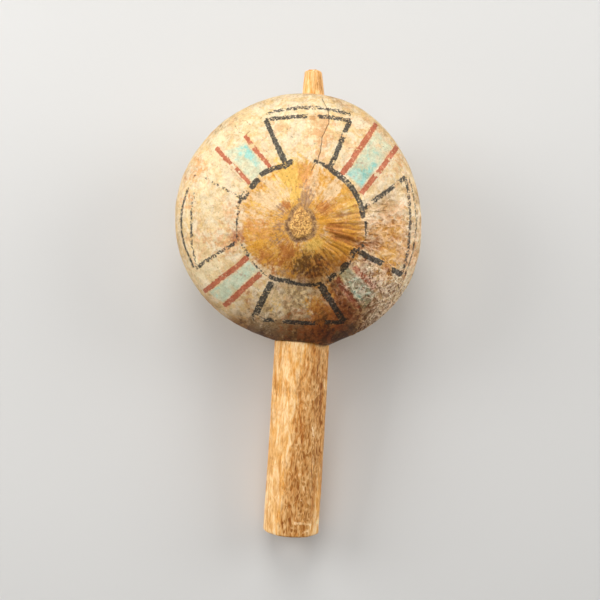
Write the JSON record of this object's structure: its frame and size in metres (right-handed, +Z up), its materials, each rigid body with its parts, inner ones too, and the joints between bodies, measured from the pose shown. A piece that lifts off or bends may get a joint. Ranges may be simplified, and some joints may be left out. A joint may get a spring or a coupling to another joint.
{
  "type": "gourd rattle",
  "caption": "Painted hollow gourd threaded on a whittled stick, whose thick end is the handle, lying on its back.",
  "frame": {"origin": "centre of the small flat spot on the gourd's back, on the floor that the rattle lies on", "axes": "+Z up from the floor, out of the painted face; +Y along the stick from the handle to the peg; +X to the right as the face is seen with the peg at the top"},
  "size_m": [0.1261, 0.2361, 0.084],
  "materials": {
    "painted_gourd": "dried gourd skin with worn matt earth paint",
    "whittled_wood": "whittled wood, worn smooth by hands"
  },
  "bodies": {
    "root": {"gourd_shell": "painted_gourd", "handle_stick": "whittled_wood"}
  },
  "joints": []
}
